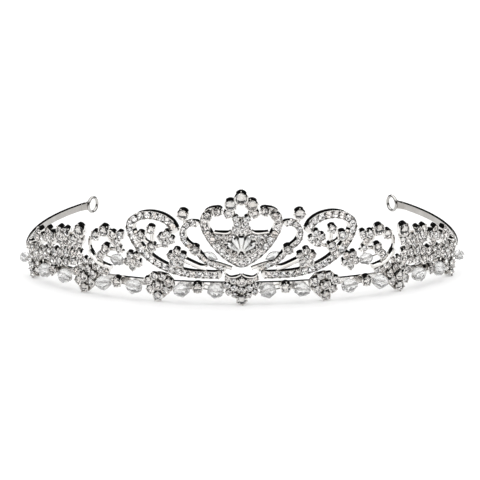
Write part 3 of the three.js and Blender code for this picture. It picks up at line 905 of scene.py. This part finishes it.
def drop_wire(cup_at, bead_at):
    """The wire from a drop through a bead, which is threaded at a fraction of its length."""
    run = math.hypot(bead_at - cup_at, BEAD_HEIGHT - DROP_HEIGHT)
    stretch = (run + BEAD_HALF + WIRE_PAST_BEAD) / run
    stop = (cup_at + (bead_at - cup_at) * stretch, DROP_HEIGHT + (BEAD_HEIGHT - DROP_HEIGHT) * stretch)
    return {"start": (cup_at, DROP_HEIGHT), "stop": stop, "outward": BEAD_AXIS, "fraction": 1 / stretch}


def wire_ends(hand, wire):
    return [space(hand * x, y, wire["outward"]) for x, y in (wire["start"], wire["stop"])]


def wire_to_bead(setting, hand, wire):
    """A straight round wire."""
    start, stop = wire_ends(hand, wire)
    ahead = (stop - start).normalized()
    side = ahead.cross(Vector((0, 0, 1))).normalized()
    up = side.cross(ahead)
    angles = [2 * math.pi * k / WIRE_SIDES for k in range(WIRE_SIDES)]
    setting.metal.loft([
        [start.lerp(stop, i / WIRE_PARTS) + (side * math.cos(a) + up * math.sin(a)) * WIRE_RADIUS * MM
         for a in angles] for i in range(WIRE_PARTS + 1)])


def bead(node, hand, wire, scale=1.0):
    """A double cone with crossed facets, bored along its length."""
    start, stop = wire_ends(hand, wire)
    axis = (stop - start).normalized()
    middle = start.lerp(stop, wire["fraction"])
    turn = axis.to_track_quat("X", "Z").to_matrix().to_4x4()
    spot = Matrix.Translation(middle) @ turn @ Matrix.Rotation(random.uniform(0, math.pi / 4), 4, "X")
    spot = spot @ Matrix.Scale(MM * scale, 4)
    bore = BEAD_BORE / scale
    waist, waist_out = BEAD_WAIST[0], BEAD_HALF * BEAD_WAIST[1]
    levels = [  # radius, place along the bore, and a half step round for every other ring
        (bore, -BEAD_HALF, 0.5), (BEAD_TABLE, -BEAD_HALF, 0.5), (waist, -waist_out, 0),
        (BEAD_RADIUS, -BEAD_BELT, 0.5), (BEAD_RADIUS, BEAD_BELT, 0.5), (waist, waist_out, 0),
        (BEAD_TABLE, BEAD_HALF, 0.5), (bore, BEAD_HALF, 0.5),
    ]
    points = []
    for radius, along, shift in levels:
        for i in range(BEAD_SIDES):
            angle = 2 * math.pi * (i + shift) / BEAD_SIDES
            points.append(spot @ Vector((along, radius * math.cos(angle), radius * math.sin(angle))))
    faces = []

    def at(level, i):
        return level * BEAD_SIDES + i % BEAD_SIDES
    for i in range(BEAD_SIDES):
        faces.append([at(0, i), at(0, i + 1), at(1, i + 1), at(1, i)])
        for outer, kite, belt in ((1, 2, 3), (6, 5, 4)):
            faces.append([at(outer, i), at(outer, i + 1), at(kite, i + 1)])
            faces.append([at(kite, i + 1), at(belt, i), at(belt, i + 1)])
            faces.append([at(outer, i), at(kite, i + 1), at(belt, i), at(kite, i)])
        faces.append([at(3, i), at(3, i + 1), at(4, i + 1), at(4, i)])
        faces.append([at(6, i), at(6, i + 1), at(7, i + 1), at(7, i)])
        faces.append([at(7, i), at(7, i + 1), at(0, i + 1), at(0, i)])
    shape = Shape()
    shape.add(points, faces)
    make(f"{node}_cut", shape, [BEAD_GLASS], node, [node], smooth_angle=0)


def beads(hand, label):
    for name, cup_at, places in DROPS:
        setting = Setting(f"drop_{name}_{label}")
        cup(setting, hand, cup_at, DROP_HEIGHT, DROP_RADIUS, front=DROP_FRONT, claws=5)
        for letter, bead_at in zip("ab", places):
            wire = drop_wire(cup_at, bead_at)
            wire_to_bead(setting, hand, wire)
            bead(f"bead_{name}_{letter}_{label}", hand, wire)
        setting.finish()
    bead(f"bead_spray_{label}", hand, SPRAY_WIRE, SPRAY_BEAD)
    bead(f"bead_end_{label}", hand, END_WIRE, END_BEAD)


headband()
heart_frame()
crown_rosette()
fan_frame()
lozenge_centre()
crystals()
for side_hand, side_label in ((1, "right"), (-1, "left")):
    end_loop(side_hand, side_label)
    side_castings(side_hand, side_label)
    beads(side_hand, side_label)


# ---- Floor, light and camera ----

FLOOR_HALF = 6.0
FLOOR_GLOW = 0.32   # keeps the shadows on the paper pale


def floor():
    """A sheet of pale paper."""
    mesh = bpy.data.meshes.new("floor")
    half = FLOOR_HALF
    mesh.from_pydata([(-half, -half, 0), (half, -half, 0), (half, half, 0), (-half, half, 0)], [], [[0, 1, 2, 3]])
    made, nodes, shader = material("floor_paper")
    tone = ramp(nodes, noise(nodes, 30), (0.3, (0.69,) * 3), (0.7, (0.71,) * 3))
    nodes.link(tone, shader.inputs["Base Color"])
    shader.inputs["Emission Color"].default_value = (1, 1, 1, 1)
    shader.inputs["Emission Strength"].default_value = FLOOR_GLOW
    shader.inputs["Roughness"].default_value = 0.9
    shader.inputs["Specular IOR Level"].default_value = 0.1
    mesh.materials.append(made)
    plane = bpy.data.objects.new("floor", mesh)
    bpy.context.scene.collection.objects.link(plane)


STUDIO_LIGHT = 1.95
STUDIO_STOPS = [    # half the height on the unit sphere, plus a half, and the brightness there
    (0.0, 1), (0.498, 1), (0.502, 0.003), (0.77, 0.004), (0.81, 1), (1.0, 1),
]


def studio():
    """A bright ceiling over a dark band round the horizon, which the metal's upper faces mirror."""
    world = bpy.data.worlds.new("studio")
    bpy.context.scene.world = world
    world.use_nodes = True
    nodes = Nodes(world.node_tree)
    coordinates = nodes.add("ShaderNodeTexCoord")
    split = nodes.add("ShaderNodeSeparateXYZ")
    nodes.link(coordinates.outputs["Generated"], split.inputs[0])
    height = nodes.add("ShaderNodeMath", operation="MULTIPLY_ADD")
    nodes.link(split.outputs["Z"], height.inputs[0])
    height.inputs[1].default_value = 0.5
    height.inputs[2].default_value = 0.5
    colour = ramp(nodes, height.outputs[0], *[(place, (light,) * 3) for place, light in STUDIO_STOPS])
    background = nodes.add("ShaderNodeBackground", Strength=STUDIO_LIGHT)
    nodes.link(colour, background.inputs[0])
    nodes.link(background.outputs[0], nodes.add("ShaderNodeOutputWorld").inputs[0])


# The camera's direction and roll in degrees, its distance in metres and its lens in millimetres.
CAMERA = {"elevation": 13.335, "distance": 1.3244, "yaw": 0.206, "roll": -0.318, "lens": 286.15}
CAMERA_TARGET = Vector((-0.0007, 0.0, 0.007184))


def camera():
    data = bpy.data.cameras.new("camera")
    data.lens = CAMERA["lens"]
    data.sensor_width = 36
    data.clip_start, data.clip_end = 0.05, 30
    eye = bpy.data.objects.new("camera", data)
    bpy.context.scene.collection.objects.link(eye)
    rise, yaw, roll = (math.radians(CAMERA[key]) for key in ("elevation", "yaw", "roll"))
    back = Vector((math.sin(yaw) * math.cos(rise), -math.cos(yaw) * math.cos(rise), math.sin(rise)))
    right = Vector((0, 0, 1)).cross(back).normalized()
    up = back.cross(right)
    right, up = (right * math.cos(roll) + up * math.sin(roll), up * math.cos(roll) - right * math.sin(roll))
    turn = Matrix((right, up, back)).transposed().to_4x4()
    eye.matrix_world = Matrix.Translation(CAMERA_TARGET + back * CAMERA["distance"]) @ turn
    bpy.context.scene.camera = eye


floor()
studio()
camera()
bpy.context.scene.view_settings.view_transform = "Standard"
